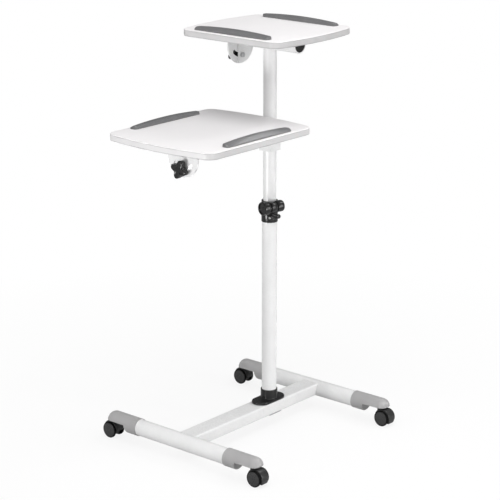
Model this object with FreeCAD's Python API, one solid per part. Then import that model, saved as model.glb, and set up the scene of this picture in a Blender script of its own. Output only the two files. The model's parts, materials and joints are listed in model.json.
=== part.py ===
import FreeCAD, Part
import math
import os

V = FreeCAD.Vector
X_AXIS, Y_AXIS, Z_AXIS = V(1, 0, 0), V(0, 1, 0), V(0, 0, 1)
os.makedirs("parts", exist_ok=True)

# Driving sizes in millimetres: base
LEG_SPACING = 540.0
LEG_TIP = 264.5
LEG_DIAMETER = 44.0
LEG_WALL = 1.5
LEG_AXIS_Z = 50.0
BAR_OFFSET = 4.5
BAR_WIDTH = 55.0
BAR_HEIGHT = 32.5
BAR_RISE = 3.0
BAR_WALL = 2.0
POST_X = 74.5
CAP_LENGTH = 110.0
CAP_WALL = 2.0
CAP_END_ROUND = 20.0
CAP_END_WALL = 4.0
STEM_INSET = 25.5
STEM_BOSS_WALL = 5.0
LIP_SLOPE = 6.0

# Driving sizes: casters
WHEEL_DIAMETER = 44.0
WHEEL_WIDTH = 6.0
WHEEL_ROUND = 2.5
CASTER_TRAIL = 16.0
HOOD_WIDTH = 25.0
HOOD_OVER_TREAD = 3.5
HOOD_OPEN = 12.0
HOOD_FLOOR_GAP = 9.0
NECK_DIAMETER = 15.0
STEM_DIAMETER = 10.0
STEM_LENGTH = 14.0
AXLE_DIAMETER = 6.0

# Driving sizes: posts, foot and height clamp
LOWER_DIAMETER = 40.0
UPPER_DIAMETER = 35.0
TUBE_WALL = 2.0
UPPER_INSERTION = 290.0
FOOT_LENGTH = 110.0
FOOT_WIDTH = 53.0
FOOT_THICKNESS = 7.0
FOOT_SHIFT = -4.0
FOOT_ROUND = 2.5
FOOT_COLLAR_HEIGHT = 33.0
FOOT_COLLAR_WALL = 3.0
UNDER_PLATE_SIDE = 48.0
UNDER_PLATE_THICKNESS = 3.0
CLAMP_BOTTOM = 577.5
CLAMP_GRIP = 30.0
CLAMP_HEIGHT = 54.0
CLAMP_WALL = 2.0
CLAMP_TURN = -15.0
BUSH_LIP_HEIGHT = 3.5
BUSH_LIP_REACH = 1.5
BARREL_DIAMETER = 29.0
BARREL_START = -25.0
BARREL_END = -3.5
BARREL_OUT = 32.0
BARREL_RISE = 47.5
CLAMP_KNOB_DIAMETER = 36.0
CLAMP_KNOB_LENGTH = 23.0
CLAMP_NUT_DIAMETER = 31.0
CLAMP_NUT_LENGTH = 21.0
CLAMP_BOLT_DIAMETER = 8.0
LUG_RISE = 16.0
LUG_LENGTH = 37.0
LUG_SHIFT = -3.5
LUG_DIAMETER = 12.0

# Driving sizes: shelves
LOWER_TOP_Z = 866.7
TOP_TOP_Z = 1096.0
BOARD_THICKNESS = 18.0
BOARD_EDGE_ROUND = 2.5
BOARD_CORNER = 28.0
BOARD_BOW = 18.0
TOP_BOARD_LENGTH = 352.0
TOP_BOARD_WIDTH = 316.0
TOP_BOARD_SHIFT = 11.0
LOWER_BOARD_LENGTH = 424.0
LOWER_BOARD_WIDTH = 353.0
LOWER_BOARD_GAP = 5.5
RAIL_LENGTH = 248.0
RAIL_WIDTH = 24.0
RAIL_HEIGHT = 13.0
RAIL_END_HEIGHT = 7.5
RAIL_INSET = 9.0
RAIL_SEAT = 2.0
RAIL_ROUND = 3.0
RAIL_CORNER = 9.0

# Driving sizes: tilt brackets, measured from the tilt axis
AXIS_DROP = 26.0
GUTTER_DIAMETER = 46.0
GUTTER_WALL = 2.5
GUTTER_RISE = 12.0
GUTTER_HALF = 100.0
PLUG_RECESS = 1.0
PLUG_LENGTH = 4.0
DIAPHRAGM_INSET = 10.0
DIAPHRAGM = 3.0
REAR_PIN_DIAMETER = 7.0
REAR_PIN_PROUD = 3.0
BRACKET_WIDTH = 90.0
BRACKET_THICKNESS = 2.0
HANGER_WIDTH = 12.0
HANGER = 3.0
EAR_WIDTH = 100.0
EAR_DEPTH = 86.0
EAR_THICKNESS = 3.0
SLOT_RADIUS = 37.0
SLOT_HALF_ANGLE = 44.0
TAB_THICKNESS = 3.0
TAB_SIDE = 12.0
TAB_INSET = 2.0
PIVOT_DIAMETER = 10.0
PIVOT_HEAD_DIAMETER = 16.0
PIVOT_HEAD = 2.5
STUD_DIAMETER = 6.0
NUT_DIAMETER = 14.0
NUT_HEIGHT = 6.0
KNOB_DIAMETER = 50.0
KNOB_LOBE = 16.0
KNOB_HEIGHT = 16.0
KNOB_STANDOFF = 6.0
KNOB_HUB = 18.0
KNOB_LOBES = 4
KNOB_TURN = 71.0
TILT_LIMIT = 30.0
COLLAR_SIDE = 40.0
COLLAR_HEIGHT = 62.0
COLLAR_BOTTOM = 772.5

# Clearances
RUNNING = 0.05
JOURNAL = 0.4
FACE_GAP = 0.5
MOVING = 5.0
SEAT_GAP = 0.2
LIP_GAP = 1.0
SLOT_GAP = 2.75

# Derived places
LEG_X = LEG_SPACING / 2
LEG_R = LEG_DIAMETER / 2
CAP_R = LEG_R + CAP_WALL
WHEEL_R = WHEEL_DIAMETER / 2
HOOD_R = WHEEL_R + HOOD_OVER_TREAD
STEM_Y = LEG_TIP - STEM_INSET
TWIN_HALF = HOOD_WIDTH / 2 + FACE_GAP + WHEEL_WIDTH
WHEEL_SWEEP = math.hypot(CASTER_TRAIL + WHEEL_R, TWIN_HALF)
HOOD_SWEEP = math.hypot(CASTER_TRAIL + HOOD_R, HOOD_WIDTH / 2)
CASTER_SWEEP = max(WHEEL_SWEEP, HOOD_SWEEP) + MOVING + LIP_GAP
LIP_Y = STEM_Y - CASTER_SWEEP
SOCKET_END = LIP_Y - CAP_END_WALL
CAP_FLOOR_Z = WHEEL_R + HOOD_R + MOVING
BAR_TOP = LEG_AXIS_Z + BAR_RISE + BAR_HEIGHT / 2
BAR_BOTTOM = BAR_TOP - BAR_HEIGHT
LOWER_R = LOWER_DIAMETER / 2
UPPER_R = UPPER_DIAMETER / 2
LOWER_POST_TOP = CLAMP_BOTTOM + CLAMP_GRIP
CLAMP_TOP = CLAMP_BOTTOM + CLAMP_HEIGHT
UPPER_POST_BOTTOM = LOWER_POST_TOP - UPPER_INSERTION
TOP_AXIS_Z = TOP_TOP_Z - BOARD_THICKNESS - AXIS_DROP
LOWER_AXIS_Z = LOWER_TOP_Z - BOARD_THICKNESS - AXIS_DROP
LOWER_CENTRE_X = POST_X - UPPER_R - LOWER_BOARD_GAP - LOWER_BOARD_LENGTH / 2
GUTTER_R = GUTTER_DIAMETER / 2
PLATE_UNDER = AXIS_DROP - BRACKET_THICKNESS
TAB_IN = GUTTER_HALF - TAB_THICKNESS
EAR_IN = GUTTER_HALF + FACE_GAP
EAR_OUT = EAR_IN + EAR_THICKNESS
TILT = math.radians(TILT_LIMIT)
GUTTER_TOP = (PLATE_UNDER - MOVING - GUTTER_R * math.sin(TILT)) / math.cos(TILT)
DIAPHRAGM_X = -GUTTER_HALF + DIAPHRAGM_INSET
HANGER_X = DIAPHRAGM_X + DIAPHRAGM + FACE_GAP
COLLAR_FACE = LOWER_CENTRE_X - POST_X + COLLAR_SIDE / 2
LEFT_REACH = LOWER_CENTRE_X - LOWER_BOARD_LENGTH / 2
RIGHT_REACH = LEG_X + CAP_R
FRAME_X = -(LEFT_REACH + RIGHT_REACH) / 2


def box(x0, x1, y0, y1, z0, z1):
    return Part.makeBox(x1 - x0, y1 - y0, z1 - z0, V(x0, y0, z0))


def rod(diameter, start, end):
    line = end - start
    return Part.makeCylinder(diameter / 2, line.Length, start, line)


def tube(outer, inner, start, end):
    return rod(outer, start, end).cut(rod(inner, start, end))


def prism(points, direction):
    wire = Part.makePolygon(points + points[:1])
    return Part.Face(wire).extrude(direction)


def face_of(edges):
    return Part.Face(Part.Wire(Part.__sortEdges__(edges)))


def save(name, shape, turn=0.0, about=V(0, 0, 0), place=V(0, 0, 0)):
    done = shape.copy()
    if turn:
        done.rotate(about, Z_AXIS, turn)
    done.translate(place + V(FRAME_X, -BAR_OFFSET, 0))
    done = done.removeSplitter()
    if len(done.Solids) == 1:
        done = done.Solids[0]
    done.exportStep(os.path.join("parts", name + ".step"))


def edges_at(shape, test):
    return [e for e in shape.Edges if test(e)]


def leg_tube():
    ends = V(0, -SOCKET_END, LEG_AXIS_Z), V(0, SOCKET_END, LEG_AXIS_Z)
    return tube(LEG_DIAMETER, LEG_DIAMETER - 2 * LEG_WALL, *ends)


def cross_bar():
    outer = box(-LEG_X, LEG_X, -BAR_WIDTH / 2, BAR_WIDTH / 2, BAR_BOTTOM, BAR_TOP)
    inner = box(-LEG_X, LEG_X, -BAR_WIDTH / 2 + BAR_WALL, BAR_WIDTH / 2 - BAR_WALL,
                BAR_BOTTOM + BAR_WALL, BAR_TOP - BAR_WALL)
    long_edges = edges_at(outer, lambda e: abs(e.tangentAt(e.FirstParameter).x) > 0.9)
    bar = outer.makeFillet(BAR_WALL * 2, long_edges).cut(inner)
    for side in (-1, 1):
        ends = V(side * LEG_X, -BAR_WIDTH, LEG_AXIS_Z), V(side * LEG_X, BAR_WIDTH, LEG_AXIS_Z)
        bar = bar.cut(rod(LEG_DIAMETER, *ends))
    return bar


def leg_cap():
    start = LEG_TIP - CAP_LENGTH
    body = rod(2 * CAP_R, V(0, start, LEG_AXIS_Z), V(0, LEG_TIP, LEG_AXIS_Z))
    tip = edges_at(body, lambda e: abs(e.CenterOfMass.y - LEG_TIP) < CAP_WALL and e.Closed)
    body = body.makeFillet(CAP_END_ROUND, tip)
    side = -2 * CAP_R
    past = LEG_TIP + CAP_R
    under = prism([V(side, LIP_Y, 0), V(side, LIP_Y, LEG_AXIS_Z - CAP_R),
                   V(side, LIP_Y + LIP_SLOPE, CAP_FLOOR_Z), V(side, past, CAP_FLOOR_Z), V(side, past, 0)],
                  V(4 * CAP_R, 0, 0))
    body = body.cut(under)
    socket = rod(LEG_DIAMETER, V(0, start, LEG_AXIS_Z), V(0, SOCKET_END, LEG_AXIS_Z))
    hollow_end = LEG_TIP - CAP_END_ROUND
    hollow = rod(2 * (LEG_R - CAP_END_WALL), V(0, SOCKET_END, LEG_AXIS_Z), V(0, hollow_end, LEG_AXIS_Z))
    floor = box(-CAP_R, CAP_R, start, LEG_TIP, 0, CAP_FLOOR_Z + CAP_END_WALL)
    boss_d = STEM_DIAMETER + 2 * STEM_BOSS_WALL
    boss = rod(boss_d, V(0, STEM_Y, CAP_FLOOR_Z), V(0, STEM_Y, LEG_AXIS_Z + LEG_R))
    hollow = hollow.cut(floor).cut(boss)
    bore_end = CAP_FLOOR_Z + STEM_LENGTH + FACE_GAP
    bore = rod(STEM_DIAMETER + 2 * RUNNING, V(0, STEM_Y, 0), V(0, STEM_Y, bore_end))
    return body.cut(socket).cut(hollow).cut(bore)


def caster_fork():
    axle_y = STEM_Y + CASTER_TRAIL
    drum = rod(2 * HOOD_R, V(-HOOD_WIDTH / 2, axle_y, WHEEL_R), V(HOOD_WIDTH / 2, axle_y, WHEEL_R))
    inside = box(-HOOD_WIDTH, HOOD_WIDTH, axle_y - 2 * HOOD_R, axle_y - HOOD_OPEN, 0, WHEEL_R)
    neck_top = CAP_FLOOR_Z - FACE_GAP
    neck = rod(NECK_DIAMETER, V(0, STEM_Y, WHEEL_R), V(0, STEM_Y, neck_top))
    stem = rod(STEM_DIAMETER, V(0, STEM_Y, neck_top - FACE_GAP), V(0, STEM_Y, CAP_FLOOR_Z + STEM_LENGTH))
    below = box(-HOOD_WIDTH, HOOD_WIDTH, 0, 2 * axle_y, -HOOD_R, HOOD_FLOOR_GAP)
    hole = AXLE_DIAMETER + 2 * RUNNING
    bore = rod(hole, V(-HOOD_WIDTH, axle_y, WHEEL_R), V(HOOD_WIDTH, axle_y, WHEEL_R))
    return drum.fuse(neck).fuse(stem).cut(below).cut(inside).cut(bore)


def caster_wheels():
    axle_y = STEM_Y + CASTER_TRAIL
    reach = TWIN_HALF - FACE_GAP
    shape = rod(AXLE_DIAMETER, V(-reach, axle_y, WHEEL_R), V(reach, axle_y, WHEEL_R))
    for side in (-1, 1):
        inner = V(side * (TWIN_HALF - WHEEL_WIDTH), axle_y, WHEEL_R)
        outer = V(side * TWIN_HALF, axle_y, WHEEL_R)
        disc = rod(WHEEL_DIAMETER, inner, outer)
        rims = edges_at(disc, lambda e: e.Closed)
        shape = shape.fuse(disc.makeFillet(WHEEL_ROUND, rims))
    return shape


def foot_flange():
    r = FOOT_WIDTH / 2
    half = FOOT_LENGTH / 2 - r
    plate = box(FOOT_SHIFT - half, FOOT_SHIFT + half, -r, r, BAR_TOP, BAR_TOP + FOOT_THICKNESS)
    for side in (-1, 1):
        end = V(FOOT_SHIFT + side * half, 0, BAR_TOP)
        plate = plate.fuse(rod(FOOT_WIDTH, end, end + Z_AXIS * FOOT_THICKNESS))
    plate = plate.removeSplitter()
    top = BAR_TOP + FOOT_THICKNESS
    rim = edges_at(plate, lambda e: abs(e.CenterOfMass.z - top) < RUNNING)
    plate = plate.makeFillet(FOOT_ROUND, rim)
    collar_d = LOWER_DIAMETER + 2 * FOOT_COLLAR_WALL
    collar = rod(collar_d, V(0, 0, BAR_TOP), V(0, 0, BAR_TOP + FOOT_COLLAR_HEIGHT))
    bore = rod(LOWER_DIAMETER, V(0, 0, BAR_TOP), V(0, 0, BAR_TOP + FOOT_COLLAR_HEIGHT))
    return plate.fuse(collar).cut(bore)


def under_plate():
    h = UNDER_PLATE_SIDE / 2
    return box(-h, h, -h, h, BAR_BOTTOM - UNDER_PLATE_THICKNESS, BAR_BOTTOM)


def lower_post():
    return tube(LOWER_DIAMETER, LOWER_DIAMETER - 2 * TUBE_WALL, V(0, 0, BAR_TOP), V(0, 0, LOWER_POST_TOP))


def upper_post():
    end = V(0, 0, TOP_AXIS_Z)
    post = tube(UPPER_DIAMETER, UPPER_DIAMETER - 2 * TUBE_WALL, V(0, 0, UPPER_POST_BOTTOM), end)
    centre = end + Z_AXIS * GUTTER_RISE
    seat = rod(GUTTER_DIAMETER, centre - Y_AXIS * GUTTER_HALF, centre + Y_AXIS * GUTTER_HALF)
    return post.cut(seat)


# The clamp stands on the lower post with its barrel towards -Y before it is turned
CLAMP_OUT_R = LOWER_R + CLAMP_WALL
BUSH_R = LOWER_R + JOURNAL
BARREL_Z = CLAMP_BOTTOM + BARREL_RISE


def barrel_point(x):
    return V(x, -BARREL_OUT, BARREL_Z)


def clamp_body():
    body = rod(2 * CLAMP_OUT_R, V(0, 0, CLAMP_BOTTOM), V(0, 0, CLAMP_TOP))
    lug_z = CLAMP_BOTTOM + LUG_RISE
    lug_y = -CLAMP_OUT_R - CLAMP_WALL
    half = LUG_LENGTH / 2
    lug = rod(LUG_DIAMETER, V(LUG_SHIFT - half, lug_y, lug_z), V(LUG_SHIFT + half, lug_y, lug_z))
    block = box(BARREL_START, BARREL_END, -BARREL_OUT, 0, BARREL_Z - BARREL_DIAMETER / 2, CLAMP_TOP)
    barrel = rod(BARREL_DIAMETER, barrel_point(BARREL_START), barrel_point(BARREL_END))
    nut_end = BARREL_END + CLAMP_NUT_LENGTH
    nut = rod(CLAMP_NUT_DIAMETER, barrel_point(BARREL_END), barrel_point(nut_end))
    nut = nut.makeFillet(CLAMP_WALL, edges_at(nut, lambda e: e.Closed))
    body = body.fuse(lug).fuse(block).fuse(barrel).fuse(nut)
    grip = rod(LOWER_DIAMETER, V(0, 0, CLAMP_BOTTOM), V(0, 0, LOWER_POST_TOP))
    upper = rod(2 * (BUSH_R + RUNNING), V(0, 0, LOWER_POST_TOP), V(0, 0, CLAMP_TOP))
    bolt = rod(CLAMP_BOLT_DIAMETER + 2 * RUNNING, barrel_point(BARREL_START), barrel_point(nut_end))
    lip_d = 2 * (BUSH_R + BUSH_LIP_REACH + FACE_GAP)
    lip_room = rod(lip_d, V(0, 0, CLAMP_TOP), V(0, 0, CLAMP_TOP + CLAMP_HEIGHT))
    return body.cut(grip).cut(upper).cut(bolt).cut(lip_room)


def clamp_knob():
    face = BARREL_START - FACE_GAP
    knob = rod(CLAMP_KNOB_DIAMETER, barrel_point(face - CLAMP_KNOB_LENGTH), barrel_point(face))
    knob = knob.makeFillet(CLAMP_WALL, edges_at(knob, lambda e: e.Closed))
    bolt_end = barrel_point(BARREL_END + CLAMP_NUT_LENGTH)
    bolt = rod(CLAMP_BOLT_DIAMETER, barrel_point(face - CLAMP_WALL), bolt_end)
    return knob.fuse(bolt)


def mast_bush():
    inner = 2 * (UPPER_R + RUNNING)
    bottom = LOWER_POST_TOP + FACE_GAP
    sleeve = tube(2 * BUSH_R, inner, V(0, 0, bottom), V(0, 0, CLAMP_TOP + FACE_GAP + BUSH_LIP_HEIGHT))
    lip_z = CLAMP_TOP + FACE_GAP
    lip = tube(2 * (BUSH_R + BUSH_LIP_REACH), inner, V(0, 0, lip_z), V(0, 0, lip_z + BUSH_LIP_HEIGHT))
    return sleeve.fuse(lip)


# Shelf pieces lie along X with the tilt axis through the origin and the ear at +X
def board(length, width):
    half_l = length / 2
    half_w = width / 2
    side = half_l - BOARD_BOW
    bottom = AXIS_DROP
    near = [V(-side, -half_w, bottom), V(side, -half_w, bottom)]
    far = [V(side, half_w, bottom), V(-side, half_w, bottom)]
    edges = [Part.LineSegment(near[0], near[1]).toShape(), Part.LineSegment(far[0], far[1]).toShape(),
             Part.Arc(near[1], V(half_l, 0, bottom), far[0]).toShape(),
             Part.Arc(far[1], V(-half_l, 0, bottom), near[0]).toShape()]
    slab = face_of(edges).extrude(V(0, 0, BOARD_THICKNESS))
    upright = edges_at(slab, lambda e: abs(e.tangentAt(e.FirstParameter).z) > 0.9)
    slab = slab.makeFillet(BOARD_CORNER, upright)
    mid = bottom + BOARD_THICKNESS / 2
    flat = edges_at(slab, lambda e: abs(e.CenterOfMass.z - mid) > BOARD_THICKNESS / 2 - RUNNING)
    slab = slab.makeFillet(BOARD_EDGE_ROUND, flat)
    top = bottom + BOARD_THICKNESS
    for y in rail_lines(width):
        slab = slab.cut(rail_plan(y, SEAT_GAP, top - RAIL_SEAT, top + RAIL_SEAT))
    return slab


def rail_lines(width):
    y = width / 2 - RAIL_INSET - RAIL_WIDTH / 2
    return -y, y


def rail_plan(y, room, z0, z1):
    half_l = RAIL_LENGTH / 2 + room
    half_w = RAIL_WIDTH / 2 + room
    plan = box(-half_l, half_l, y - half_w, y + half_w, z0, z1)
    upright = edges_at(plan, lambda e: abs(e.tangentAt(e.FirstParameter).z) > 0.9)
    return plan.makeFillet(RAIL_CORNER + room, upright)


def rail(y):
    top = AXIS_DROP + BOARD_THICKNESS
    half = RAIL_LENGTH / 2
    plan = rail_plan(y, 0, top - RAIL_SEAT, top + RAIL_HEIGHT)
    start = V(-half, y - RAIL_WIDTH, top + RAIL_END_HEIGHT)
    end = V(half, y - RAIL_WIDTH, top + RAIL_END_HEIGHT)
    arch = Part.Arc(start, V(0, y - RAIL_WIDTH, top + RAIL_HEIGHT), end).toShape()
    low = [V(half, y - RAIL_WIDTH, top - RAIL_SEAT), V(-half, y - RAIL_WIDTH, top - RAIL_SEAT)]
    edges = [arch, Part.LineSegment(end, low[0]).toShape(), Part.LineSegment(low[0], low[1]).toShape(),
             Part.LineSegment(low[1], start).toShape()]
    side = face_of(edges).extrude(V(0, 2 * RAIL_WIDTH, 0))
    bar = plan.common(side)
    crest = edges_at(bar, lambda e: e.CenterOfMass.z > top + RAIL_END_HEIGHT / 2 and
                     abs(e.tangentAt(e.FirstParameter).z) < 0.9)
    return bar.makeFillet(RAIL_ROUND, crest)


def half_disc(width, z_top, z_side, x0, x1):
    r = width / 2
    a, b = V(x0, -r, z_side), V(x0, r, z_side)
    edges = [Part.Arc(a, V(x0, 0, z_side - r), b).toShape(), Part.LineSegment(b, V(x0, r, z_top)).toShape(),
             Part.LineSegment(V(x0, r, z_top), V(x0, -r, z_top)).toShape(),
             Part.LineSegment(V(x0, -r, z_top), a).toShape()]
    return face_of(edges).extrude(V(x1 - x0, 0, 0))


def gutter(x0):
    axis = V(x0, 0, GUTTER_RISE), V(TAB_IN, 0, GUTTER_RISE)
    ring = tube(GUTTER_DIAMETER, GUTTER_DIAMETER - 2 * GUTTER_WALL, *axis)
    above = box(x0, TAB_IN, -GUTTER_R, GUTTER_R, GUTTER_TOP, GUTTER_RISE + GUTTER_R)
    trough = ring.cut(above)
    x1 = DIAPHRAGM_X + DIAPHRAGM
    plate = gutter_fill(DIAPHRAGM_X, x1, GUTTER_DIAMETER)
    plate = plate.cut(rod(REAR_PIN_DIAMETER + 2 * RUNNING, V(DIAPHRAGM_X, 0, 0), V(x1, 0, 0)))
    return trough.fuse(plate).fuse(end_tab())


def gutter_fill(x0, x1, diameter):
    disc = rod(diameter, V(x0, 0, GUTTER_RISE), V(x1, 0, GUTTER_RISE))
    return disc.cut(box(x0, x1, -GUTTER_R, GUTTER_R, GUTTER_TOP, GUTTER_RISE + GUTTER_R))


def plug():
    x0 = -GUTTER_HALF + PLUG_RECESS
    return gutter_fill(x0, x0 + PLUG_LENGTH, GUTTER_DIAMETER - 2 * GUTTER_WALL)


def bracket():
    w = BRACKET_WIDTH / 2
    plate = box(-GUTTER_HALF, EAR_IN, -w, w, PLATE_UNDER, AXIS_DROP)
    x1 = HANGER_X + HANGER
    hanger = box(HANGER_X, x1, -HANGER_WIDTH / 2, HANGER_WIDTH / 2, 0, PLATE_UNDER)
    hanger = hanger.fuse(rod(HANGER_WIDTH, V(HANGER_X, 0, 0), V(x1, 0, 0)))
    return plate.fuse(hanger).cut(rod(REAR_PIN_DIAMETER, V(HANGER_X, 0, 0), V(x1, 0, 0)))


def rear_pin():
    start = V(DIAPHRAGM_X - REAR_PIN_PROUD, 0, 0)
    return rod(REAR_PIN_DIAMETER, start, V(HANGER_X + HANGER + REAR_PIN_PROUD, 0, 0))


def arc_slot(width, x0, x1):
    def at(radius, angle):
        return V(x0, radius * math.sin(math.radians(angle)), -radius * math.cos(math.radians(angle)))
    a = SLOT_HALF_ANGLE
    r_in = SLOT_RADIUS - width / 2
    r_out = SLOT_RADIUS + width / 2
    edges = [Part.Arc(at(r_in, -a), at(r_in, 0), at(r_in, a)).toShape(),
             Part.Arc(at(r_out, -a), at(r_out, 0), at(r_out, a)).toShape(),
             Part.LineSegment(at(r_in, -a), at(r_out, -a)).toShape(),
             Part.LineSegment(at(r_in, a), at(r_out, a)).toShape()]
    slot = face_of(edges).extrude(V(x1 - x0, 0, 0))
    for angle in (-a, a):
        end = at(SLOT_RADIUS, angle)
        slot = slot.fuse(rod(width, end, end + V(x1 - x0, 0, 0)))
    return slot


def ear():
    z_side = AXIS_DROP - EAR_DEPTH + EAR_WIDTH / 2
    plate = half_disc(EAR_WIDTH, AXIS_DROP, z_side, EAR_IN, EAR_OUT)
    slot = arc_slot(STUD_DIAMETER + 2 * SLOT_GAP, EAR_IN, EAR_OUT)
    hole = rod(PIVOT_DIAMETER, V(EAR_IN, 0, 0), V(EAR_OUT, 0, 0))
    return plate.cut(slot).cut(hole)


def pivot():
    shank = rod(PIVOT_DIAMETER, V(TAB_IN, 0, 0), V(EAR_OUT, 0, 0))
    head = rod(PIVOT_HEAD_DIAMETER, V(EAR_OUT, 0, 0), V(EAR_OUT + PIVOT_HEAD, 0, 0))
    rim = edges_at(head, lambda e: e.Closed and e.CenterOfMass.x > EAR_OUT + PIVOT_HEAD / 2)
    return shank.fuse(head.makeFillet(PIVOT_HEAD / 2, rim))


def end_tab():
    r = EAR_WIDTH / 2 - TAB_INSET
    z_side = AXIS_DROP - EAR_DEPTH + EAR_WIDTH / 2
    room = PLATE_UNDER - MOVING
    top = (room - TAB_SIDE * math.sin(TILT)) / math.cos(TILT)
    outer_top = (room - r * math.sin(TILT)) / math.cos(TILT)
    plate = half_disc(2 * r, top, z_side, TAB_IN, GUTTER_HALF)
    keep = prism([V(TAB_IN, TAB_SIDE, top), V(TAB_IN, TAB_SIDE, -EAR_DEPTH), V(TAB_IN, -r, -EAR_DEPTH),
                  V(TAB_IN, -r, outer_top), V(TAB_IN, -TAB_SIDE, top)], V(TAB_THICKNESS, 0, 0))
    plate = plate.common(keep)
    pivot_hole = rod(PIVOT_DIAMETER + 2 * RUNNING, V(TAB_IN, 0, 0), V(GUTTER_HALF, 0, 0))
    stud = V(TAB_IN, 0, -SLOT_RADIUS)
    stud_hole = rod(STUD_DIAMETER + 2 * RUNNING, stud, stud + X_AXIS * TAB_THICKNESS)
    return plate.cut(pivot_hole).cut(stud_hole)


def tilt_knob():
    z = -SLOT_RADIUS
    x0 = EAR_OUT + KNOB_STANDOFF
    x1 = x0 + KNOB_HEIGHT
    stud = rod(STUD_DIAMETER, V(TAB_IN - NUT_HEIGHT, 0, z), V(x0 + KNOB_HEIGHT / 2, 0, z))
    hub = rod(KNOB_HUB, V(EAR_OUT + FACE_GAP, 0, z), V(x1, 0, z))
    nut = rod(NUT_DIAMETER, V(TAB_IN - NUT_HEIGHT, 0, z), V(TAB_IN - FACE_GAP, 0, z))
    shape = stud.fuse(hub).fuse(nut)
    reach = (KNOB_DIAMETER - KNOB_LOBE) / 2
    for lobe in range(KNOB_LOBES):
        angle = KNOB_TURN + lobe * 360 / KNOB_LOBES
        y = reach * math.cos(math.radians(angle))
        dz = reach * math.sin(math.radians(angle))
        tip = rod(KNOB_LOBE, V(x0, y, z + dz), V(x1, y, z + dz))
        arm = box(x0, x1, 0, reach, -KNOB_LOBE / 2, KNOB_LOBE / 2)
        arm.rotate(V(0, 0, 0), X_AXIS, angle)
        arm.translate(V(0, 0, z))
        shape = shape.fuse(tip).fuse(arm)
    return shape


def lower_collar():
    h = COLLAR_SIDE / 2
    block = box(-h, h, -h, h, COLLAR_BOTTOM, COLLAR_BOTTOM + COLLAR_HEIGHT)
    return block.cut(rod(UPPER_DIAMETER, V(0, 0, COLLAR_BOTTOM), V(0, 0, COLLAR_BOTTOM + COLLAR_HEIGHT)))


for leg, side in (("near", -1), ("far", 1)):
    at = V(side * LEG_X, BAR_OFFSET, 0)
    save(leg + "_leg", leg_tube(), place=at)
    for end, turn in (("back", 0), ("front", 180)):
        corner = leg + "_" + end
        save(corner + "_cap", leg_cap(), turn, place=at)
        save(corner + "_fork", caster_fork(), turn, place=at)
        save(corner + "_wheels", caster_wheels(), turn, place=at)

post = V(POST_X, 0, 0)
save("cross_bar", cross_bar())
save("under_plate", under_plate(), place=post)
save("foot_flange", foot_flange(), place=post)
save("lower_post", lower_post(), place=post)
save("clamp_body", clamp_body(), CLAMP_TURN, place=post)
save("clamp_knob", clamp_knob(), CLAMP_TURN, place=post)
save("mast_bush", mast_bush(), place=post)
save("upper_post", upper_post(), place=post)
save("lower_collar", lower_collar(), place=post)

top_place = V(POST_X, 0, TOP_AXIS_Z)
lower_place = V(LOWER_CENTRE_X, 0, LOWER_AXIS_Z)
SHELVES = (("top", TOP_BOARD_LENGTH, TOP_BOARD_WIDTH, 90, top_place, -GUTTER_HALF, TOP_BOARD_SHIFT),
           ("lower", LOWER_BOARD_LENGTH, LOWER_BOARD_WIDTH, 180, lower_place, COLLAR_FACE, 0.0))
for shelf, length, width, turn, at, gutter_start, shift in SHELVES:
    left, right = rail_lines(width)
    along = math.radians(turn)
    top_at = at + (X_AXIS * math.cos(along) + Y_AXIS * math.sin(along)) * shift
    save(shelf + "_board", board(length, width), turn, place=top_at)
    save(shelf + "_rail_left", rail(left), turn, place=top_at)
    save(shelf + "_rail_right", rail(right), turn, place=top_at)
    save(shelf + "_bracket", bracket(), turn, place=at)
    save(shelf + "_rear_pin", rear_pin(), turn, place=at)
    save(shelf + "_ear", ear(), turn, place=at)
    save(shelf + "_pivot", pivot(), turn, place=at)
    save(shelf + "_gutter", gutter(gutter_start), turn, place=at)
    save(shelf + "_tilt_knob", tilt_knob(), turn, place=at)
    if shelf == "top":
        save("top_plug", plug(), turn, place=at)
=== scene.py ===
import json
import math
import bmesh
import bpy
from mathutils import Matrix, Vector


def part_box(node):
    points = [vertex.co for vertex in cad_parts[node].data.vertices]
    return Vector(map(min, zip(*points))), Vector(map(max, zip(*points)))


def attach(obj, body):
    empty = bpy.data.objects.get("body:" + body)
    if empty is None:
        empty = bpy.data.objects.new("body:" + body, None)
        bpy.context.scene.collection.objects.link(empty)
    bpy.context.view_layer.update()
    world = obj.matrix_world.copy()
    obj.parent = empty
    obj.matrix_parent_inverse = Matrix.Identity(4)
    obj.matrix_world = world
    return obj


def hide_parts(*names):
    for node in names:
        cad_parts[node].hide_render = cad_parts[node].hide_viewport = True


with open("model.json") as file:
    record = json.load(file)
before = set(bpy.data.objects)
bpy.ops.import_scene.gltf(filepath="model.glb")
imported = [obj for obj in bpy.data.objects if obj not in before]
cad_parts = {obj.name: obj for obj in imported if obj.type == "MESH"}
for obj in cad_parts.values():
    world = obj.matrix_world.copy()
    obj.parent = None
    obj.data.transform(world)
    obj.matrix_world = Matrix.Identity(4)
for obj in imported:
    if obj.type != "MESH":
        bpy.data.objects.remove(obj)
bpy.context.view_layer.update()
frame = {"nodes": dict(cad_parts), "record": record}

NODES = frame["nodes"]
MM = 0.001
X, Y, Z = Vector((1, 0, 0)), Vector((0, 1, 0)), Vector((0, 0, 1))


def node_box(name):
    """Lowest and highest corner of a CAD node, in millimetres."""
    low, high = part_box(name)
    return Vector(low) / MM, Vector(high) / MM


def node_centre(name):
    low, high = node_box(name)
    return (low + high) / 2


POST = node_centre("upper_post")
POST.z = 0


# Material nodes
def new_material(name):
    material = bpy.data.materials.new(name)
    material.use_nodes = True
    tree = material.node_tree
    return material, tree.nodes, tree.links, tree.nodes["Principled BSDF"]


def object_coordinates(nodes):
    return nodes.new("ShaderNodeTexCoord").outputs["Object"]


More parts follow.
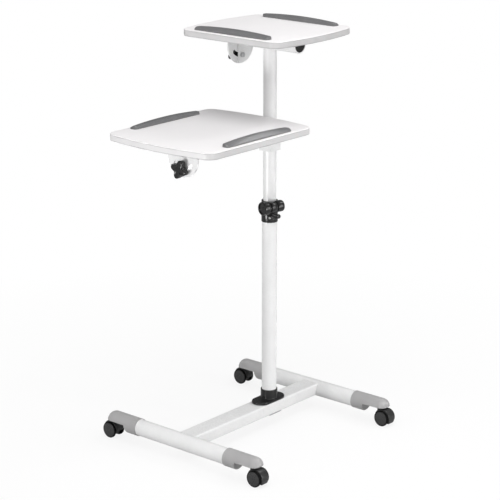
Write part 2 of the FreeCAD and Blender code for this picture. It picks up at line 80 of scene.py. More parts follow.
def noise(nodes, links, coordinates, scale, detail):
    node = nodes.new("ShaderNodeTexNoise")
    node.inputs["Scale"].default_value = scale
    node.inputs["Detail"].default_value = detail
    links.new(coordinates, node.inputs["Vector"])
    return node.outputs["Fac"]


def to_range(nodes, links, value, low, high, from_low=0.3, from_high=0.7):
    """Maps a value to a range. The usual input is a noise, which lies mostly from 0.3 to 0.7."""
    node = nodes.new("ShaderNodeMapRange")
    for key, number in (("From Min", from_low), ("From Max", from_high), ("To Min", low), ("To Max", high)):
        node.inputs[key].default_value = number
    links.new(value, node.inputs["Value"])
    return node.outputs["Result"]


def mix_colour(nodes, links, factor, first, second):
    node = nodes.new("ShaderNodeMix")
    node.data_type = "RGBA"
    links.new(factor, node.inputs["Factor"])
    node.inputs["A"].default_value = (*first, 1)
    node.inputs["B"].default_value = (*second, 1)
    return node.outputs["Result"]


def maths(nodes, links, operation, *values):
    node = nodes.new("ShaderNodeMath")
    node.operation = operation
    for socket, value in zip(node.inputs, values):
        if isinstance(value, (int, float)):
            socket.default_value = value
        else:
            links.new(value, socket)
    return node.outputs["Value"]


def vector_maths(nodes, links, operation, value, other=None):
    node = nodes.new("ShaderNodeVectorMath")
    node.operation = operation
    links.new(value, node.inputs[0])
    if other:
        node.inputs[1].default_value = other
    return node.outputs


def add_bump(nodes, links, shader, height, strength, distance):
    node = nodes.new("ShaderNodeBump")
    node.inputs["Strength"].default_value = strength
    node.inputs["Distance"].default_value = distance
    links.new(height, node.inputs["Height"])
    links.new(node.outputs["Normal"], shader.inputs["Normal"])


# Materials, with depths of texture in metres
GRAIN_DEPTH = 0.0003
SPECK_DEPTH = 0.0002
CLOUD_SCALE = 6.0
SPECK_SCALE = 900.0
CLOUD_SHARE = 0.6
LAMINATE_SPAN = (0.35, 0.65)
LAMINATE_ROUGH = (0.42, 0.56)
LAMINATE_BUMP = 0.10


def finish(name, dark, light, rough, grain, bump, metallic=0.0, patch=18.0, shine=0.5):
    """A surface with slow colour drift, fine grain in its gloss and a fine raised texture."""
    material, nodes, links, shader = new_material(name)
    place = object_coordinates(nodes)
    drift = noise(nodes, links, place, patch, detail=4.0)
    colour = mix_colour(nodes, links, to_range(nodes, links, drift, 0, 1), dark, light)
    links.new(colour, shader.inputs["Base Color"])
    fine = noise(nodes, links, place, grain, detail=2.0)
    links.new(to_range(nodes, links, fine, *rough), shader.inputs["Roughness"])
    add_bump(nodes, links, shader, fine, bump, GRAIN_DEPTH)
    shader.inputs["Metallic"].default_value = metallic
    shader.inputs["Specular IOR Level"].default_value = shine
    return material


def laminate(name, dark, light):
    """Board face: faint clouds and specks in the colour and an eggshell texture."""
    material, nodes, links, shader = new_material(name)
    place = object_coordinates(nodes)
    cloud = noise(nodes, links, place, CLOUD_SCALE, detail=3.0)
    speck = noise(nodes, links, place, SPECK_SCALE, detail=1.0)
    clouds = maths(nodes, links, "MULTIPLY", cloud, CLOUD_SHARE)
    specks = maths(nodes, links, "MULTIPLY", speck, 1 - CLOUD_SHARE)
    both = maths(nodes, links, "ADD", clouds, specks)
    colour = mix_colour(nodes, links, to_range(nodes, links, both, 0, 1, *LAMINATE_SPAN), dark, light)
    links.new(colour, shader.inputs["Base Color"])
    links.new(to_range(nodes, links, speck, *LAMINATE_ROUGH), shader.inputs["Roughness"])
    add_bump(nodes, links, shader, speck, LAMINATE_BUMP, SPECK_DEPTH)
    return material


WHITE = finish("white_powder_coat", (0.80, 0.80, 0.80), (0.84, 0.84, 0.84), (0.22, 0.34), 700.0, 0.06)
BOARD = laminate("white_laminate", (0.80, 0.785, 0.79), (0.84, 0.825, 0.83))
# Edge bands: darker than the board face, as painted shade on the side faces; the top shelf's band is a
# darker copy of the same band, as painted shade for less light at its height
LOWER_BAND_SHADED = finish("lower_edge_band_painted_shade", (0.62, 0.612, 0.616), (0.66, 0.652, 0.656), (0.36, 0.48), 900.0, 0.05)
TOP_BAND_SHADED = finish("top_edge_band_painted_shade", (0.56, 0.553, 0.556), (0.60, 0.593, 0.596), (0.36, 0.48), 900.0, 0.05)
# Dark seam line in the edge groove; the same colour is also painted on the rounded lower edge as painted
# shade
SEAM_AND_SHADE = finish("edge_seam_and_painted_shade", (0.40, 0.395, 0.40), (0.48, 0.475, 0.48), (0.5, 0.7), 900.0, 0.05)
GREY = finish("grey_plastic", (0.375, 0.37, 0.372), (0.425, 0.419, 0.421), (0.40, 0.55), 1400.0, 0.16)
RAIL = finish("dark_grey_plastic", (0.125, 0.125, 0.128), (0.155, 0.155, 0.158), (0.29, 0.39),
              1600.0, 0.08, shine=0.95)
BLACK = finish("black_plastic", (0.012, 0.012, 0.0122), (0.018, 0.018, 0.0182), (0.15, 0.25),
               1500.0, 0.06, shine=0.45)
HOOD = finish("hood_plastic", (0.022, 0.022, 0.0225), (0.030, 0.030, 0.0305), (0.26, 0.36), 1500.0, 0.06)
DISC = finish("wheel_disc", (0.030, 0.030, 0.0305), (0.038, 0.038, 0.0385), (0.22, 0.30), 1500.0, 0.05)
TREAD = finish("tread", (0.004, 0.004, 0.0042), (0.007, 0.007, 0.0073), (0.40, 0.55),
               1200.0, 0.10, shine=0.08)
ZINC = finish("zinc_steel", (0.46, 0.46, 0.47), (0.62, 0.62, 0.63), (0.26, 0.45),
              500.0, 0.08, metallic=1.0, patch=90.0)

BY_SLOT = {
    "white_powder_coat": WHITE,
    "white_laminate": BOARD,
    "grey_plastic": GREY,
    "dark_grey_plastic": RAIL,
    "black_plastic": BLACK,
    "tread": TREAD,
    "zinc_steel": ZINC,
}
for part in frame["record"]["subparts"]:
    for slot in NODES[part["node"]].material_slots:
        slot.material = BY_SLOT[part["material_slot"]]


# Mesh helpers, in millimetres
LEAST_R = 0.01
HEX_SIDES = 6


def frame_of(axis):
    """Two directions across an axis."""
    side = Z if abs(axis.z) < 0.9 else X
    first = axis.cross(side).normalized()
    return first, axis.cross(first).normalized()


def add_rings(mesh, rings, first_cap=True, last_cap=True, kind=0):
    """A skin over closed rings of points. kind is the place in the piece's list of materials."""
    made = [[mesh.verts.new(point * MM) for point in ring] for ring in rings]
    count = len(made[0])
    for low, high in zip(made, made[1:]):
        for i in range(count):
            j = (i + 1) % count
            mesh.faces.new((low[i], low[j], high[j], high[i])).material_index = kind
    if first_cap:
        mesh.faces.new(list(reversed(made[0]))).material_index = kind
    if last_cap:
        mesh.faces.new(made[-1]).material_index = kind


def add_lathe(mesh, profile, centre, axis, steps, kind=0):
    """A turned form: profile of (radius, distance along the axis)."""
    axis = axis.normalized()
    first, second = frame_of(axis)
    turns = [2 * math.pi * i / steps for i in range(steps)]
    rings = []
    for radius, along in profile:
        radius = max(radius, LEAST_R)
        rings.append([centre + axis * along + (first * math.cos(t) + second * math.sin(t)) * radius
                      for t in turns])
    add_rings(mesh, rings, kind=kind)


def rounded_box(mesh, low, high, bevel, place):
    """A box with rounded edges, set in its place by a matrix."""
    box = bmesh.new()
    bmesh.ops.create_cube(box, size=1)
    for vert in box.verts:
        vert.co = Vector([low[i] if vert.co[i] < 0 else high[i] for i in range(3)])
    bmesh.ops.bevel(box, geom=box.edges[:], offset=bevel, segments=3, profile=0.5, affect="EDGES")
    copies = {vert: mesh.verts.new(place @ vert.co * MM) for vert in box.verts}
    for face in box.faces:
        mesh.faces.new([copies[vert] for vert in face.verts])
    box.free()


def make(name, mesh, materials, body, node=None, angle=32.0):
    """Turns a mesh into a piece on a body. It stands for a CAD node where one is named."""
    bmesh.ops.recalc_face_normals(mesh, faces=mesh.faces[:])
    data = bpy.data.meshes.new(name)
    mesh.to_mesh(data)
    mesh.free()
    for material in materials:
        data.materials.append(material)
    data.shade_smooth()
    data.set_sharp_from_angle(angle=math.radians(angle))
    piece = bpy.data.objects.new(name, data)
    bpy.context.scene.collection.objects.link(piece)
    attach(piece, body)
    if node:
        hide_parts(node)


# Boards: outlines with X along the tilt axis, edges as (inset, height) from the underside up
BOARD_LENGTH = {"lower": 424.0, "top": 352.0}
BOARD_TURN = {"lower": 180, "top": 90}
# Band material for each shelf, with painted shade on the side faces
SHADED_BAND_BY_SHELF = {"lower": LOWER_BAND_SHADED, "top": TOP_BAND_SHADED}
BOARD_BOW = 18.0
BOARD_CORNER = 28.0
BOW_STEPS = 28
CORNER_STEPS = 14
LOWER_ROUND = [(3.0, 0.0), (1.6, 0.12), (0.7, 0.55), (0.15, 1.3), (0.0, 2.2)]
SEAM_GROOVE = [(0.0, 14.6), (0.6, 14.8), (0.6, 15.4), (0.0, 15.6)]
UPPER_ROUND = [(0.0, 15.6), (0.15, 16.6), (0.6, 17.4), (1.4, 17.85), (2.6, 18.0)]


def board_outline(length, width, inset):
    """A board from above: bowed ends, straight sides and round corners."""
    half_w = width / 2
    bow_r = (half_w ** 2 + BOARD_BOW ** 2) / (2 * BOARD_BOW)
    bow_x = length / 2 - bow_r
    corner_y = half_w - BOARD_CORNER
    corner_x = bow_x + math.sqrt((bow_r - BOARD_CORNER) ** 2 - corner_y ** 2)
    lean = math.atan2(corner_y, corner_x - bow_x)
    quarter = []
    for i in range(BOW_STEPS + 1):
        a = lean * i / BOW_STEPS
        quarter.append((bow_x + (bow_r - inset) * math.cos(a), (bow_r - inset) * math.sin(a)))
    for i in range(1, CORNER_STEPS + 1):
        a = lean + (math.pi / 2 - lean) * i / CORNER_STEPS
        r = BOARD_CORNER - inset
        quarter.append((corner_x + r * math.cos(a), corner_y + r * math.sin(a)))
    half = quarter + [(-x, y) for x, y in reversed(quarter)]
    return half + [(x, -y) for x, y in reversed(half[1:-1])]


def make_board(shelf):
    low, high = node_box(shelf + "_board")
    size = high - low
    width = size.y if shelf == "lower" else size.x
    centre = (low + high) / 2
    centre.z = low.z
    spin = Matrix.Rotation(math.radians(BOARD_TURN[shelf]), 3, "Z")

    def rings(edge):
        return [[centre + spin @ Vector((x, y, 0)) + Z * height
                 for x, y in board_outline(BOARD_LENGTH[shelf], width, inset)] for inset, height in edge]

    mesh = bmesh.new()
    # The rounded lower edge takes the dark seam colour: painted shade along the board's underside edge
    add_rings(mesh, rings(LOWER_ROUND), last_cap=False, kind=2)
    add_rings(mesh, rings([LOWER_ROUND[-1], SEAM_GROOVE[0]]), first_cap=False, last_cap=False, kind=1)
    add_rings(mesh, rings(SEAM_GROOVE), first_cap=False, last_cap=False, kind=2)
    add_rings(mesh, rings(UPPER_ROUND), first_cap=False, kind=0)
    bmesh.ops.remove_doubles(mesh, verts=mesh.verts[:], dist=1e-6)
    make(shelf + "_top", mesh, [BOARD, SHADED_BAND_BY_SHELF[shelf], SEAM_AND_SHADE], shelf + "_shelf",
         shelf + "_board", angle=24.0)


# Rails
RAIL_TURN = {"lower": 0, "top": 90}
RAIL_LENGTH = 248.0
RAIL_WIDTH = 24.0
RAIL_HEIGHT = 13.0
RAIL_END_HEIGHT = 7.5
RAIL_CORNER = 9.0
RAIL_END_ROUND = 4.0
RAIL_SHOULDER = 3.0
RAIL_EDGE = 3.2
SHOULDER_SHARE = 0.4
EDGE_SHARE = 0.3
RAIL_UNDERCUT = 0.7
RAIL_LEAN = 0.5
RAIL_LEAN_MIDDLE = 0.2
RAIL_CREST_SHARE = 0.14
SLOPE_POWER = 1.85
RAIL_STEPS = 30
SHOULDER_STEPS = 6
SLOPE_STEPS = 12


def rail_ring(x, half_w, height, outer):
    """Cross section of a rail: steep inner side, soft crest, long slope to a thin outer edge."""
    shoulder = min(RAIL_SHOULDER, height * SHOULDER_SHARE)
    edge = min(RAIL_EDGE, height * EDGE_SHARE)
    inner = -half_w + RAIL_LEAN
    middle = -half_w + RAIL_LEAN_MIDDLE
    points = [(-half_w, 0.0), (middle, (height - shoulder) / 2), (inner, height - shoulder)]
    for i in range(1, SHOULDER_STEPS + 1):
        a = math.pi / 2 * i / SHOULDER_STEPS
        points.append((inner + shoulder * (1 - math.cos(a)), height - shoulder * (1 - math.sin(a))))
    crest = half_w * RAIL_CREST_SHARE
    points.append((crest, height))
    for i in range(1, SLOPE_STEPS + 1):
        a = math.pi / 2 * i / SLOPE_STEPS
        along, up = math.sin(a) ** SLOPE_POWER, math.cos(a) ** SLOPE_POWER
        points.append((crest + (half_w - crest) * along, edge + (height - edge) * up))
    points.append((half_w - RAIL_UNDERCUT, 0.0))
    return [Vector((x, outer * y, z)) for y, z in points]


def pulled_in(radius, gap):
    """How far a rounded end has drawn back at a distance from its tip."""
    return radius - math.sqrt(max(0.0, radius ** 2 - max(0.0, radius - gap) ** 2))


def make_rail(shelf, side):
    node = shelf + "_rail_" + side
    centre = node_centre(node)
    centre.z = node_box(shelf + "_board")[1].z
    spin = Matrix.Rotation(math.radians(RAIL_TURN[shelf]), 3, "Z")
    away = spin.inverted() @ (centre - node_centre(shelf + "_board"))
    outer = 1 if away.y > 0 else -1
    half = RAIL_LENGTH / 2
    rise = RAIL_HEIGHT - RAIL_END_HEIGHT
    bow_r = (half ** 2 + rise ** 2) / (2 * rise)
    rings = []
    for i in range(-RAIL_STEPS, RAIL_STEPS + 1):
        x = half * math.sin(math.pi / 2 * i / RAIL_STEPS)
        gap = half - abs(x)
        half_w = RAIL_WIDTH / 2 - pulled_in(RAIL_CORNER, gap)
        height = RAIL_HEIGHT - (bow_r - math.sqrt(bow_r ** 2 - x ** 2)) - pulled_in(RAIL_END_ROUND, gap)
        rings.append([centre + spin @ point for point in rail_ring(x, half_w, height, outer)])
    mesh = bmesh.new()
    add_rings(mesh, rings)
    make(shelf + "_rail_trim_" + side, mesh, [RAIL], shelf + "_shelf", node, angle=50.0)


for shelf_name in ("lower", "top"):
    make_board(shelf_name)
    for rail_side in ("left", "right"):
        make_rail(shelf_name, rail_side)


# Casters: profiles as (radius, distance), wheel and disc from the inner face, neck from its top
WHEEL_WIDTH = 6.0
WHEEL_PROFILE = [(0.0, 0.0), (20.4, 0.0), (21.3, 0.2), (21.8, 0.7), (22.0, 1.5), (22.0, 4.2), (21.8, 5.0),
                 (21.4, 5.5), (20.8, 5.75), (20.1, 5.8), (19.7, 5.6), (19.6, 5.1), (19.4, 5.0)]
DISC_PROFILE = [(19.5, 4.2), (19.45, 4.8), (19.2, 5.3), (18.7, 5.7), (18.0, 5.9), (12.0, 5.98), (0.0, 6.0)]
AXLE_R = 3.0
CASTER_TRAIL = 16.0
HOOD_R = 25.5
HOOD_HALF = 12.5
HOOD_OPEN = 12.0
HOOD_LOW = 13.0
HOOD_LIP = 4.0
HOOD_STEPS = 80
LIP_STEPS = 8
HOOD_SIDE = [(1.0, 1.6), (0.95, 0.7), (0.86, 0.15), (0.75, 0.0)]
STEM_LENGTH = 14.5
STEM_R = 5.0
NECK_LOW, NECK_LOW_R = 24.0, 7.2
NECK_TOP = [(7.4, -9.0), (7.5, -3.8), (7.4, -3.2), (6.4, -2.9), (6.4, -2.1), (7.4, -1.8), (7.5, -1.0),
            (7.2, -0.3), (6.6, 0.0), (STEM_R, 0.0)]


def hood_outline():
    """Side view of the hood about the axle: y runs away from the stem, z up."""
    start = -math.degrees(math.asin(HOOD_LOW / HOOD_R))
    points = []
    for i in range(HOOD_STEPS + 1):
        a = math.radians(start + (180 - start) * i / HOOD_STEPS)
        points.append((HOOD_R * math.cos(a), HOOD_R * math.sin(a)))
    for i in range(LIP_STEPS + 1):
        a = math.pi / 2 * i / LIP_STEPS
        points.append((-HOOD_OPEN - HOOD_LIP * (1 - math.sin(a)), -HOOD_LIP + HOOD_LIP * math.cos(a)))
    return points + [(-HOOD_OPEN, -HOOD_LOW)]


def make_wheels(corner):
    low, high = node_box(corner + "_wheels")
    centre = (low + high) / 2
    half = (high.x - low.x) / 2
    mesh = bmesh.new()
    for side in (-1, 1):
        start = centre + X * side * (half - WHEEL_WIDTH)
        add_lathe(mesh, WHEEL_PROFILE, start, X * side, steps=96, kind=0)
        add_lathe(mesh, DISC_PROFILE, start, X * side, steps=96, kind=1)
    axle_half = half - WHEEL_WIDTH
    add_lathe(mesh, [(AXLE_R, -axle_half), (AXLE_R, axle_half)], centre, X, steps=24)
    make(corner + "_twin_wheels", mesh, [TREAD, DISC], corner + "_roller", corner + "_wheels",
         angle=28.0)


def make_hood(corner):
    centre = node_centre(corner + "_wheels")
    stem_top = node_box(corner + "_fork")[1].z
    out = 1 if corner.endswith("back") else -1
    stem = Vector((centre.x, centre.y - out * CASTER_TRAIL, 0))
    mesh = bmesh.new()
    rings = []
    for x, inset in [(-x, inset) for x, inset in HOOD_SIDE] + HOOD_SIDE[::-1]:
        k = (HOOD_R - inset) / HOOD_R
        rings.append([centre + Vector((x * HOOD_HALF, out * y * k, z * k)) for y, z in hood_outline()])
    add_rings(mesh, rings)
    top = stem_top - STEM_LENGTH
    neck = [(NECK_LOW_R, NECK_LOW)] + [(r, top + z) for r, z in NECK_TOP] + [(STEM_R, stem_top)]
    add_lathe(mesh, neck, stem, Z, steps=48)
    make(corner + "_hood", mesh, [HOOD], corner + "_caster", corner + "_fork", angle=28.0)


for corner_name in ("near_back", "near_front", "far_back", "far_front"):
    make_wheels(corner_name)
    make_hood(corner_name)


# Foot flange: plate edge as (inset, height), collar as (radius, height from the plate or from its top)
FOOT_EDGE = [(0.6, 0.0), (0.0, 0.6), (0.0, 4.2), (0.35, 5.4), (1.2, 6.4), (2.4, 6.9), (3.6, 7.0)]
COLLAR_LOW = [(25.2, 7.0), (24.2, 7.3), (23.5, 8.0), (23.2, 9.2)]
COLLAR_TOP = [(23.0, -4.6), (23.0, -1.0), (22.6, -0.3), (21.9, 0.0), (20.1, 0.0), (20.0, -6.0)]
FOOT_SCREW = [(4.6, 0.0), (4.6, 0.5), (4.2, 0.9), (2.6, 1.25), (2.3, 1.1), (2.2, 0.4), (0.0, 0.4)]
FOOT_SCREW_OUT = 12.5
FOOT_SCREW_RISE = 6.6
COLLAR_ROOM = 32.0
FOOT_STEPS = 64


def obround(half, radius):
    """A circle pulled apart along X by half to each side."""
    points = []
    for i in range(FOOT_STEPS):
        a = 2 * math.pi * (i + 0.5) / FOOT_STEPS
        shift = half if math.cos(a) > 0 else -half
        points.append((shift + radius * math.cos(a), radius * math.sin(a)))
    return points


def make_foot():
    low, high = node_box("foot_flange")
    centre = (low + high) / 2
    centre.z = low.z
    axis = Vector((POST.x, POST.y, low.z))
    width = high.y - low.y
    half = (high.x - low.x - width) / 2
    tall = high.z - low.z
    collar = COLLAR_LOW + [(radius, tall + z) for radius, z in COLLAR_TOP]
    rings = []
    for inset, z in FOOT_EDGE:
        rings.append([centre + Vector((x, y, z)) for x, y in obround(half, width / 2 - inset)])
    for radius, z in collar:
        rings.append([axis + Vector((x, y, z)) for x, y in obround(0, radius)])
    mesh = bmesh.new()
    add_rings(mesh, rings, last_cap=False)
    make("foot_socket", mesh, [BLACK], "base", "foot_flange", angle=40.0)
    screws = bmesh.new()
    for side in (-1, 1):
        spot = Vector((centre.x + side * (half + FOOT_SCREW_OUT), centre.y, low.z + FOOT_SCREW_RISE))
        if abs(spot.x - POST.x) > COLLAR_ROOM:
            add_lathe(screws, FOOT_SCREW, spot, Z, steps=36)
    make("foot_screws", screws, [BLACK], "base")


make_foot()


# Height clamp: profiles as (radius, distance), blocks as (low corner, high corner, edge radius)
CLAMP_TURN = -15.0
BARREL_OUT = 32.0
BARREL_RISE = 47.5
BARREL_START, BARREL_END = -25.0, -3.5
CLAMP_SHELL = [(20.05, 0.0), (21.4, 0.0), (21.9, 0.5), (22.0, 1.4), (22.0, 27.0), (21.8, 27.6), (21.4, 27.9),
               (21.4, 28.9), (21.8, 29.2), (22.0, 29.8), (22.0, 48.5), (21.8, 49.2), (21.4, 49.5),
               (21.4, 50.3), (21.8, 50.6), (22.0, 51.2), (22.0, 53.2), (21.7, 53.8), (21.2, 54.0),
               (20.5, 54.0)]
BARREL = [(10.5, 0.0), (11.0, 2.4), (13.6, 2.5), (14.3, 2.9), (14.5, 3.6), (14.5, 19.0), (14.1, 19.7),
          (12.4, 20.0), (12.2, 21.5)]
BARREL_CAP = [(12.2, -1.0), (12.4, 0.9), (14.8, 1.1), (15.3, 1.6), (15.5, 2.4), (15.5, 16.4), (15.2, 18.4),
              (14.3, 20.0), (12.8, 20.8), (8.0, 21.0), (7.6, 20.6), (7.2, 19.8), (0.0, 19.8)]
CLAMP_BRIDGE = ((BARREL_START + 0.8, -BARREL_OUT, BARREL_RISE - 14.2), (BARREL_END - 0.8, -14.0, 53.8), 1.2)
SCREW_BLOCK = ((-16.0, -27.5, 9.0), (9.0, -18.0, 23.0), 2.2)
CLAMP_RIB = ((-5.5, -29.0, 24.0), (3.5, -18.0, BARREL_RISE - 10.0), 1.6)
CLAMP_TAB = ((-30.0, -8.0, 46.0), (-20.5, -1.0, 56.0), 2.0)
LUG = [(5.2, 0.0), (5.8, 0.5), (6.0, 1.4), (6.0, 12.2), (5.7, 12.8), (5.2, 13.0)]
LUG_STARTS = (-16.0, 1.5)
SCREW_OUT = 24.0
SCREW_RISE = 16.0
SCREW_END = [(3.0, 0.0), (3.0, 5.0), (2.6, 5.4), (0.0, 5.4)]
SCREW_END_START = 14.0
SCREW_HEAD = [(3.0, 0.0), (3.2, 0.4), (3.2, 2.6), (2.8, 3.0), (1.7, 3.0), (1.6, 1.4), (0.0, 1.4)]
GRIP_GAP = 0.5
GRIP_CUP = [(10.5, 0.0), (10.5, 4.4), (16.4, 4.6), (17.5, 5.0), (18.0, 6.0), (18.0, 7.0), (17.5, 7.5),
            (17.5, 8.2), (18.0, 8.7), (18.0, 20.4), (17.7, 21.7), (16.8, 22.7), (15.4, 23.0), (14.2, 23.0),
            (13.7, 22.6), (13.3, 20.2), (0.0, 20.0)]
GRIP_TURN = -24.0
GRIP_BAR = ((-22.9, -13.2, -3.0), (-19.0, 13.2, 3.0), 1.1)
GRIP_STUD = [(4.0, -3.0), (4.0, 40.0)]


def make_clamp():
    bottom = node_box("clamp_body")[0].z
    turn = Matrix.Rotation(math.radians(CLAMP_TURN), 3, "Z")
    foot = POST + Z * bottom
    place = Matrix.Translation(foot) @ turn.to_4x4()
    along = turn @ X
    barrel = foot + turn @ Vector((0, -BARREL_OUT, BARREL_RISE))
    screw = foot + turn @ Vector((0, -SCREW_OUT, SCREW_RISE))

    body = bmesh.new()
    add_lathe(body, CLAMP_SHELL, foot, Z, steps=96)
    add_lathe(body, BARREL, barrel + along * BARREL_START, along, steps=64)
    add_lathe(body, BARREL_CAP, barrel + along * BARREL_END, along, steps=64)
    for block in (CLAMP_BRIDGE, SCREW_BLOCK, CLAMP_RIB, CLAMP_TAB):
        rounded_box(body, *block, place)
    for start in LUG_STARTS:
        add_lathe(body, LUG, screw + along * start, along, steps=40)
    make("clamp_shell", body, [BLACK], "base", "clamp_body", angle=30.0)

    steel = bmesh.new()
    add_lathe(steel, SCREW_END, screw + along * SCREW_END_START, along, steps=32)
    add_lathe(steel, SCREW_HEAD, screw + along * LUG_STARTS[0], -along, steps=32)
    make("clamp_screw", steel, [ZINC], "base")

    knob = bmesh.new()
    face = barrel + along * (BARREL_START - GRIP_GAP)
    add_lathe(knob, GRIP_CUP, face, -along, steps=72)
    grip = Matrix.Translation(face) @ turn.to_4x4() @ Matrix.Rotation(math.radians(GRIP_TURN), 4, "X")
    rounded_box(knob, *GRIP_BAR, grip)
    add_lathe(knob, GRIP_STUD, face, along, steps=24)
    make("clamp_grip", knob, [BLACK], "clamp_handle", "clamp_knob", angle=30.0)


make_clamp()


# Tilt knobs: lobed edge as (shrink, distance), other profiles as (radius, distance)
KNOB_LIFT = 6.0
KNOB_LOBES = 4
KNOB_TURN = 71.0
KNOB_WAIST = 14.6
KNOB_LOBE = 10.4
LOBE_POWER = 0.9
WAIST_SHRINK = 0.75
KNOB_STEPS = 144
KNOB_EDGE = [(3.2, 0.0), (1.4, 0.25), (0.5, 0.9), (0.0, 2.2), (0.0, 12.6), (0.35, 14.2), (1.3, 15.4),
             (2.8, 15.9), (5.0, 16.0), (8.0, 15.2)]
KNOB_NECK = [(8.0, 0.6), (9.0, 0.8), (9.0, KNOB_LIFT + 0.6)]
KNOB_BUTTON = [(7.6, 12.0), (7.6, 15.6), (7.2, 16.0), (0.0, 16.2)]
BUTTON_LIFT = KNOB_LIFT - 0.4
KNOB_STUD = [(3.0, -12.5), (3.0, 4.0)]
KNOB_NUT = [(5.2, -12.4), (7.0, -12.2), (7.0, -7.4), (6.6, -7.1), (3.0, -7.1)]


def make_tilt_knob(shelf):
    centre = node_centre(shelf + "_tilt_knob")
    ear_low, ear_high = node_box(shelf + "_ear")
    if shelf == "lower":
        out = -X
        start = Vector((ear_low.x, centre.y, centre.z))
    else:
        out = Y
        start = Vector((POST.x, ear_high.y, centre.z))
    side = Z.cross(out).normalized()
    mesh = bmesh.new()
    rings = []
    for shrink, along in KNOB_EDGE:
        ring = []
        for i in range(KNOB_STEPS):
            t = 2 * math.pi * i / KNOB_STEPS
            wave = (0.5 + 0.5 * math.cos(KNOB_LOBES * (t - math.radians(KNOB_TURN)))) ** LOBE_POWER
            radius = KNOB_WAIST + KNOB_LOBE * wave - shrink * (WAIST_SHRINK + (1 - WAIST_SHRINK) * wave)
            edge = side * radius * math.cos(t) + Z * radius * math.sin(t)
            ring.append(start + out * (KNOB_LIFT + along) + edge)
        rings.append(ring)
    add_rings(mesh, rings)
    add_lathe(mesh, KNOB_NECK, start, out, steps=48)
    add_lathe(mesh, KNOB_BUTTON, start + out * BUTTON_LIFT, out, steps=48)
    add_lathe(mesh, KNOB_STUD, start, out, steps=32, kind=1)
    add_lathe(mesh, KNOB_NUT, start, out, steps=HEX_SIDES, kind=1)
    make(shelf + "_star_knob", mesh, [BLACK, ZINC], shelf + "_handle",
         shelf + "_tilt_knob", angle=30.0)


for shelf_name in ("lower", "top"):
    make_tilt_knob(shelf_name)


# Fasteners under the shelves and the bar, profiles as (radius, distance)
BRACKET_SCREW = [(3.8, 0.0), (3.8, 0.6), (3.4, 1.3), (2.4, 1.8), (1.4, 2.0), (1.2, 1.2), (0.0, 1.2)]
BRACKET_PLATE = 2.0
SCREW_ALONG = 80
SCREW_ACROSS = 36
WASHER = [(7.4, 0.0), (7.4, 0.8), (6.2, 0.9)]
BOLT_HEAD = [(5.6, 0.8), (5.8, 1.2), (5.8, 4.6), (5.2, 5.2), (0.0, 5.2)]
BOLT_OUT = 13


def make_bracket_screws(shelf):
    low, high = node_box(shelf + "_bracket")
    centre = (low + high) / 2
    centre.z = high.z - BRACKET_PLATE
    mesh = bmesh.new()
    for along in (-SCREW_ALONG, SCREW_ALONG):
        for across in (-SCREW_ACROSS, SCREW_ACROSS):
            step = (along, across, 0) if shelf == "lower" else (across, along, 0)
            add_lathe(mesh, BRACKET_SCREW, centre + Vector(step), -Z, steps=32)
    make(shelf + "_bracket_screws", mesh, [ZINC], shelf + "_shelf")


def make_base_bolts():
    low, high = node_box("under_plate")
    centre = (low + high) / 2
    centre.z = low.z
    mesh = bmesh.new()
    for side in (-1, 1):
        spot = centre + X * side * BOLT_OUT
        add_lathe(mesh, WASHER, spot, -Z, steps=36)
        add_lathe(mesh, BOLT_HEAD, spot, -Z, steps=HEX_SIDES)
    make("base_bolts", mesh, [ZINC], "base")


for shelf_name in ("lower", "top"):
    make_bracket_screws(shelf_name)
make_base_bolts()


# Camera: place in metres from the middle of the bar, angles in degrees
BAR_MIDDLE = Vector(((node_box("near_leg")[0].x + node_box("far_leg")[1].x) / 2, POST.y, 0)) * MM
EYE = Vector((-3.5516, -3.0163, 1.8935))
CAMERA_YAW = 40.39
CAMERA_PITCH = 16.50
FOCAL_PIXELS = 1833.6
IMAGE_PIXELS = 500
SENSOR_MM = 36.0
VIEW_REACH = 50


def add_camera():
    data = bpy.data.cameras.new("camera")
    data.sensor_width = SENSOR_MM
    data.lens = FOCAL_PIXELS / IMAGE_PIXELS * SENSOR_MM
    data.clip_end = VIEW_REACH
    camera = bpy.data.objects.new("camera", data)
    bpy.context.scene.collection.objects.link(camera)
    yaw, pitch = math.radians(CAMERA_YAW), math.radians(CAMERA_PITCH)
    look = Vector((math.cos(yaw) * math.cos(pitch), math.sin(yaw) * math.cos(pitch), -math.sin(pitch)))
    camera.location = BAR_MIDDLE + EYE
    camera.rotation_euler = look.to_track_quat("-Z", "Y").to_euler()
    bpy.context.scene.camera = camera


# Floor: white behind the cart, pale grey far off on its other sides, distances in metres
FLOOR_SIZE = 60
FLOOR_BOUNCE = (0.56, 0.56, 0.56)
FLOOR_SEEN = (0.90, 0.90, 0.90)
FLOOR_ROUGH = 0.9
FLOOR_GLOW = 0.84
GLOW_REACH = (0.7, 1.6)
FLOOR_WHITE_SIDE = (0.762, 0.648, 0)
WHITE_SIDE_EDGE = (0.3, 0.8)
FLOOR_FAR = 0.86
FAR_REACH = (1.8, 5.0)


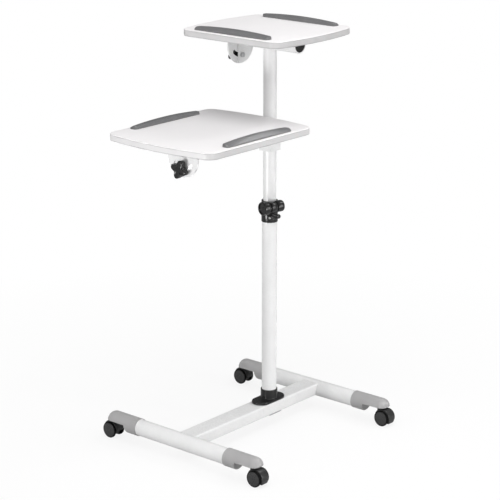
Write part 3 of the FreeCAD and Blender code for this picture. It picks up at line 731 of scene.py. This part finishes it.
def add_floor():
    bpy.ops.mesh.primitive_plane_add(size=FLOOR_SIZE)
    floor = bpy.context.object
    floor.name = "floor"
    material, nodes, links, shader = new_material("floor")
    path = nodes.new("ShaderNodeLightPath")
    seen = maths(nodes, links, "MAXIMUM", path.outputs["Is Camera Ray"], path.outputs["Is Transmission Ray"])
    links.new(mix_colour(nodes, links, seen, FLOOR_BOUNCE, FLOOR_SEEN), shader.inputs["Base Color"])
    shader.inputs["Roughness"].default_value = FLOOR_ROUGH
    shader.inputs["Specular IOR Level"].default_value = 0.0
    place = object_coordinates(nodes)
    reach = vector_maths(nodes, links, "LENGTH", place)["Value"]
    outward = vector_maths(nodes, links, "NORMALIZE", place)["Vector"]
    facing = vector_maths(nodes, links, "DOT_PRODUCT", outward, FLOOR_WHITE_SIDE)["Value"]
    away = to_range(nodes, links, facing, 1.0, 0.0, *WHITE_SIDE_EDGE)
    far = to_range(nodes, links, reach, 0.0, 1.0, *FAR_REACH)
    shade = maths(nodes, links, "MULTIPLY", away, far)
    glow = nodes.new("ShaderNodeEmission")
    glow.inputs["Color"].default_value = (1, 1, 1, 1)
    links.new(to_range(nodes, links, shade, 1.0, FLOOR_FAR, 0.0, 1.0), glow.inputs["Strength"])
    glow_share = to_range(nodes, links, reach, FLOOR_GLOW, 1.0, *GLOW_REACH)
    blend = nodes.new("ShaderNodeMixShader")
    links.new(maths(nodes, links, "MULTIPLY", seen, glow_share), blend.inputs["Fac"])
    links.new(shader.outputs["BSDF"], blend.inputs[1])
    links.new(glow.outputs["Emission"], blend.inputs[2])
    links.new(blend.outputs["Shader"], nodes["Material Output"].inputs["Surface"])
    floor.data.materials.append(material)


# Room: soft light that is stronger from the front, and half as strong in reflections
ROOM_LIGHT = (0.20, 0.88)
ROOM_FRONT = (-0.66, -0.56, 0.50)
MIRRORED = 0.5


def add_room():
    world = bpy.data.worlds.new("studio")
    bpy.context.scene.world = world
    world.use_nodes = True
    nodes, links = world.node_tree.nodes, world.node_tree.links
    room = nodes["Background"]
    room.inputs["Color"].default_value = (1, 1, 1, 1)
    direction = nodes.new("ShaderNodeTexCoord").outputs["Generated"]
    facing = vector_maths(nodes, links, "DOT_PRODUCT", direction, ROOM_FRONT)["Value"]
    level = to_range(nodes, links, facing, *ROOM_LIGHT, -1.0, 1.0)
    path = nodes.new("ShaderNodeLightPath")
    mirrored = to_range(nodes, links, path.outputs["Is Glossy Ray"], 1.0, MIRRORED, 0.0, 1.0)
    links.new(maths(nodes, links, "MULTIPLY", level, mirrored), room.inputs["Strength"])
    white = nodes.new("ShaderNodeBackground")
    white.inputs["Color"].default_value = (1, 1, 1, 1)
    white.inputs["Strength"].default_value = 1.0
    blend = nodes.new("ShaderNodeMixShader")
    links.new(path.outputs["Is Camera Ray"], blend.inputs["Fac"])
    links.new(room.outputs["Background"], blend.inputs[1])
    links.new(white.outputs["Background"], blend.inputs[2])
    links.new(blend.outputs["Shader"], nodes["World Output"].inputs["Surface"])


# Lamps: name, place, aim, size in metres, power in watts, spread in degrees
LAMPS = [
    ("overhead", (-0.7, -0.6, 3.0), (0, 0, 0.4), (1.6, 1.6), 29, 180),
    ("top_right", (1.9, -1.1, 3.2), (0, 0, 0.5), (0.7, 0.7), 17, 180),
    ("right_strip", (1.2, -3.4, 1.1), (0, 0, 0.65), (0.6, 1.8), 24, 180),
    ("low_left", (-2.5, 0.3, 0.18), (-0.3, 0, 0.80), (0.4, 0.3), 0.75, 26),
    ("base_left", (-2.4, 0.6, 0.40), (-0.1, 0, 0.10), (0.4, 0.5), 0.55, 40),
    ("low_right", (0.2, -2.5, 0.45), (0, 0, 0.45), (0.3, 0.7), 0.70, 40),
]


def add_lamp(name, place, aim, size, power, spread):
    data = bpy.data.lights.new(name, "AREA")
    data.shape = "RECTANGLE"
    data.size, data.size_y = size
    data.energy = power
    data.spread = math.radians(spread)
    lamp = bpy.data.objects.new(name, data)
    bpy.context.scene.collection.objects.link(lamp)
    lamp.location = place
    lamp.rotation_euler = (Vector(aim) - Vector(place)).to_track_quat("-Z", "Y").to_euler()


add_camera()
add_floor()
add_room()
for lamp_row in LAMPS:
    add_lamp(*lamp_row)
bpy.context.scene.view_settings.view_transform = "Standard"
